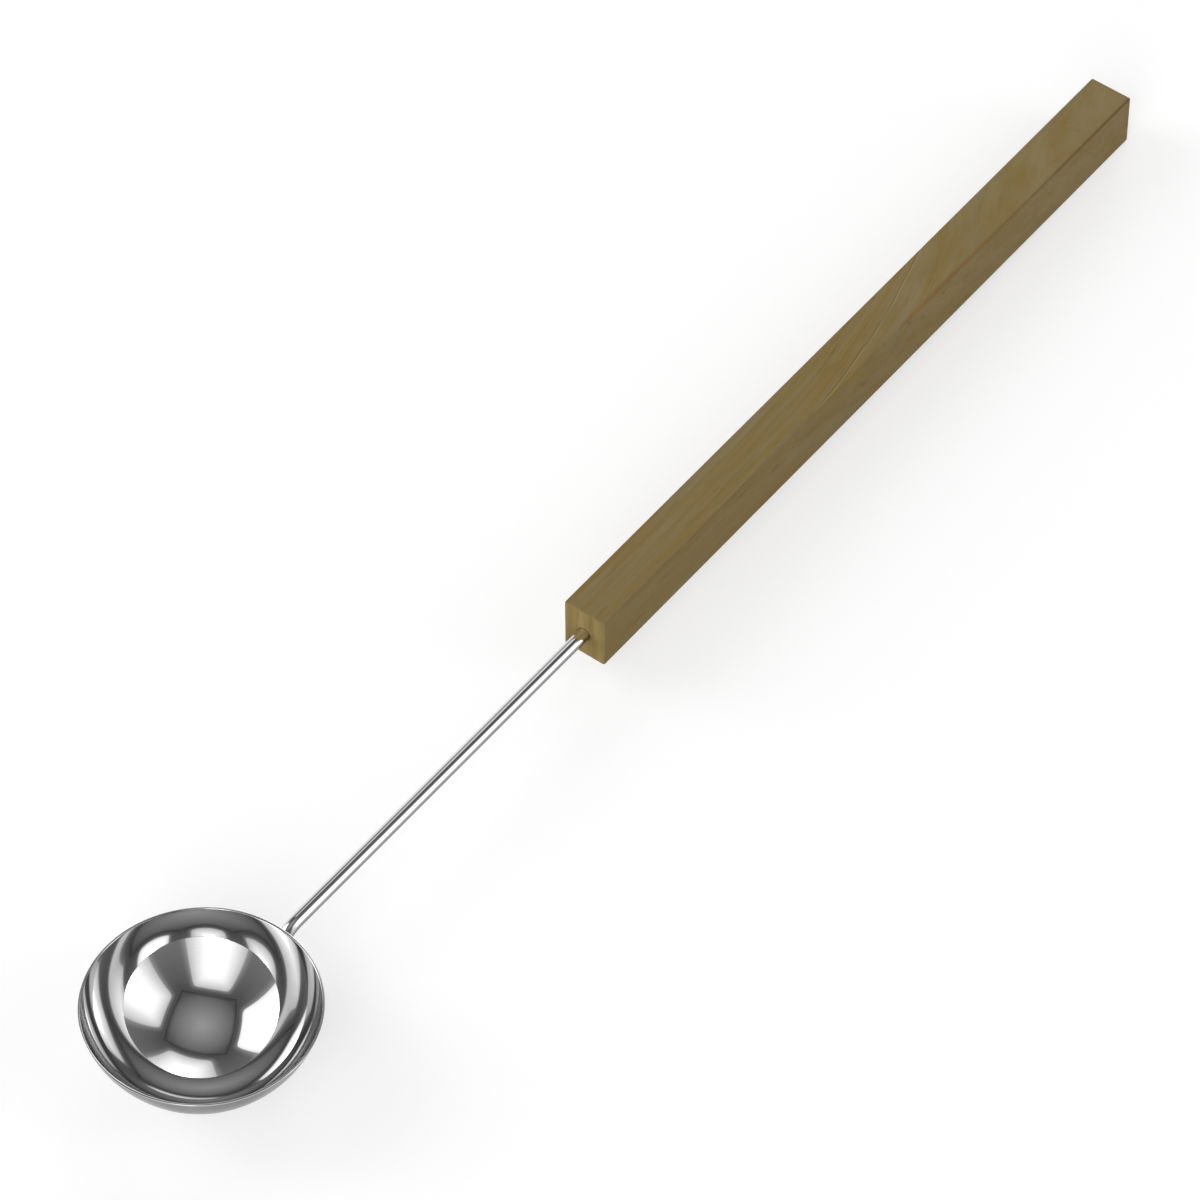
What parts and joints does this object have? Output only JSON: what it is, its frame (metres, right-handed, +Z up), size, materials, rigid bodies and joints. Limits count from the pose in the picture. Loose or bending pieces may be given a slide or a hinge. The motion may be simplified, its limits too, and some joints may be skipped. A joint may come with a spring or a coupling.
{
  "type": "sauna ladle",
  "caption": "Long-handled sauna ladle: a polished steel bowl, a thin steel rod bent down and welded to its outside, and a square-edged cedar handle for pouring water on hot stones.",
  "frame": {"origin": "under the middle of the ladle's length, on the level surface that the bowl's foot touches", "axes": "+X from the bowl towards the handle's far end, +Z up with the rim and the handle level"},
  "size_m": [0.5859, 0.0842, 0.0381],
  "materials": {
    "polished_steel": "mirror-polished stainless steel sheet",
    "drawn_steel": "bright drawn stainless steel rod",
    "weld_steel": "bare weld bead, brushed clean",
    "oiled_cedar": "planed and oiled cedar with straight grain",
    "cured_glue": "clear amber cured adhesive"
  },
  "bodies": {
    "root": {"bowl": "polished_steel", "shank_rod": "drawn_steel", "weld_bead_left": "weld_steel", "weld_bead_right": "weld_steel", "handle": "oiled_cedar", "adhesive_sleeve": "cured_glue"}
  },
  "joints": []
}
